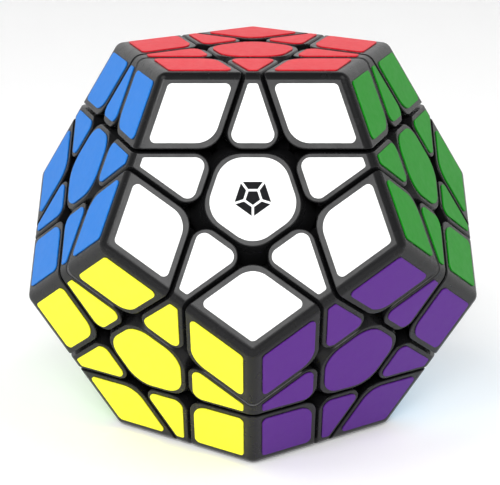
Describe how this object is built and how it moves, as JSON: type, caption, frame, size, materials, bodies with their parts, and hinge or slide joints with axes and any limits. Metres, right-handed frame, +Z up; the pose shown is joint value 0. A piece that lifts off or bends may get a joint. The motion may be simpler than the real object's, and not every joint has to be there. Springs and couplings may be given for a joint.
{
  "type": "dodecahedron twisty puzzle",
  "caption": "Twelve-faced twisty puzzle with coloured stickers on black plastic pieces, whose face layers turn about a screw and spring core.",
  "frame": {"origin": "centre of the core, where all twelve turning axes meet", "axes": "+Z up through the red face, -Y towards the side of the white face, +Y to the back; the puzzle lies on its orange face"},
  "size_m": [0.0826, 0.0866, 0.0712],
  "materials": {
    "black_shell": "moulded black plastic, satin to glossy",
    "inner_plastic": "moulded black plastic, as it leaves the mould",
    "core_plastic": "moulded black plastic",
    "screw_steel": "zinc plated steel",
    "washer_steel": "polished steel",
    "spring_steel": "drawn spring wire",
    "sticker_beige": "beige vinyl sticker, low sheen",
    "sticker_blue": "blue vinyl sticker, low sheen",
    "sticker_green": "green vinyl sticker, low sheen",
    "sticker_grey": "grey vinyl sticker, low sheen",
    "sticker_light_blue": "light blue vinyl sticker, low sheen",
    "sticker_light_green": "light green vinyl sticker, low sheen",
    "sticker_orange": "orange vinyl sticker, low sheen",
    "sticker_pink": "pink vinyl sticker, low sheen",
    "sticker_purple": "purple vinyl sticker, low sheen",
    "sticker_red": "red vinyl sticker, low sheen",
    "sticker_white": "white vinyl sticker, low sheen",
    "sticker_yellow": "yellow vinyl sticker, low sheen"
  },
  "bodies": {
    "core_frame": {"centre_screws": "screw_steel", "centre_springs": "spring_steel", "core_spider": "core_plastic", "fixed_blue_stickers": "sticker_blue", "fixed_centre_bodies": "inner_plastic", "fixed_centre_caps": "black_shell", "fixed_corner_caps": "black_shell", "fixed_corner_feet": "inner_plastic", "fixed_edge_caps": "black_shell", "fixed_edge_feet": "inner_plastic", "fixed_green_stickers": "sticker_green", "fixed_grey_stickers": "sticker_grey", "fixed_light_blue_stickers": "sticker_light_blue", "fixed_light_green_stickers": "sticker_light_green", "fixed_pink_stickers": "sticker_pink", "fixed_purple_stickers": "sticker_purple", "fixed_red_stickers": "sticker_red", "fixed_yellow_stickers": "sticker_yellow", "screw_washers": "washer_steel"},
    "white_layer": {"white_centre_body": "inner_plastic", "white_centre_cap": "black_shell", "white_corner_caps": "black_shell", "white_corner_feet": "inner_plastic", "white_edge_caps": "black_shell", "white_edge_feet": "inner_plastic", "white_layer_blue_stickers": "sticker_blue", "white_layer_green_stickers": "sticker_green", "white_layer_purple_stickers": "sticker_purple", "white_layer_red_stickers": "sticker_red", "white_layer_yellow_stickers": "sticker_yellow", "white_stickers": "sticker_white"},
    "beige_layer": {"beige_centre_body": "inner_plastic", "beige_centre_cap": "black_shell", "beige_corner_caps": "black_shell", "beige_corner_feet": "inner_plastic", "beige_edge_caps": "black_shell", "beige_edge_feet": "inner_plastic", "beige_layer_green_stickers": "sticker_green", "beige_layer_grey_stickers": "sticker_grey", "beige_layer_light_blue_stickers": "sticker_light_blue", "beige_layer_pink_stickers": "sticker_pink", "beige_layer_red_stickers": "sticker_red", "beige_stickers": "sticker_beige"},
    "orange_layer": {"orange_centre_body": "inner_plastic", "orange_centre_cap": "black_shell", "orange_corner_caps": "black_shell", "orange_corner_feet": "inner_plastic", "orange_edge_caps": "black_shell", "orange_edge_feet": "inner_plastic", "orange_layer_grey_stickers": "sticker_grey", "orange_layer_light_blue_stickers": "sticker_light_blue", "orange_layer_light_green_stickers": "sticker_light_green", "orange_layer_purple_stickers": "sticker_purple", "orange_layer_yellow_stickers": "sticker_yellow", "orange_stickers": "sticker_orange"}
  },
  "joints": [
    {"name": "white_layer_turn", "type": "hinge", "parent": "core_frame", "child": "white_layer", "pos_m": [0, 0, 0], "axis": [0, -0.8944, 0.4472], "continuous": true},
    {"name": "beige_layer_turn", "type": "hinge", "parent": "core_frame", "child": "beige_layer", "pos_m": [0, 0, 0], "axis": [0.5257, 0.7236, 0.4472], "continuous": true},
    {"name": "orange_layer_turn", "type": "hinge", "parent": "core_frame", "child": "orange_layer", "pos_m": [0, 0, 0], "axis": [0, 0, -1], "continuous": true}
  ]
}
